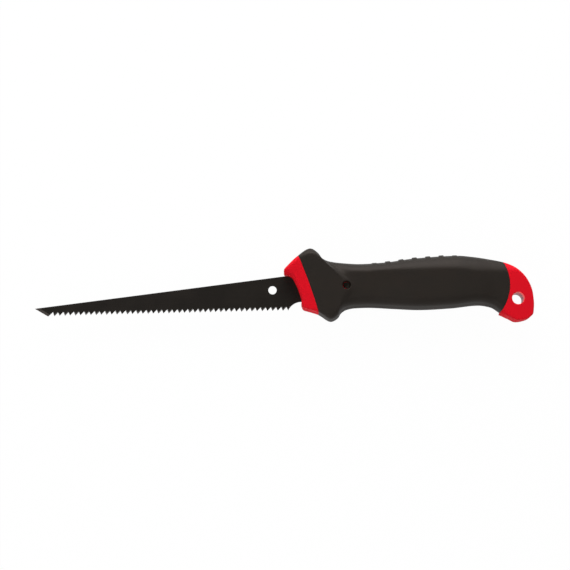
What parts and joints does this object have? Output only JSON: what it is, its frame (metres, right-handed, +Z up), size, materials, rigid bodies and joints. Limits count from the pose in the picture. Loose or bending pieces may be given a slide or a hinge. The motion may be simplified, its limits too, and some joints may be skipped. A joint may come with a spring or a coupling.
{
  "type": "drywall saw",
  "caption": "Drywall jab saw: tapered push-cut blade with a ground plunge tip, in a hard core with a soft grip, guard lobes, thumb ribs and a hang hole in the butt.",
  "frame": {"origin": "under the middle of the saw's outer box, on the surface that the saw lies on", "axes": "+X along the saw from the blade's tip to the butt, +Y towards the back of the blade, +Z up through the saw's thickness"},
  "size_m": [0.2984, 0.044, 0.025],
  "materials": {
    "coated_steel": "semi-gloss black coating, bright ground edges at the tip",
    "red_plastic": "gloss moulded",
    "black_rubber": "fine matt moulded grain",
    "pin_steel": "blackened"
  },
  "bodies": {
    "root": {"blade": "coated_steel", "handle_core": "red_plastic", "soft_grip": "black_rubber", "tang_pin": "pin_steel"}
  },
  "joints": []
}
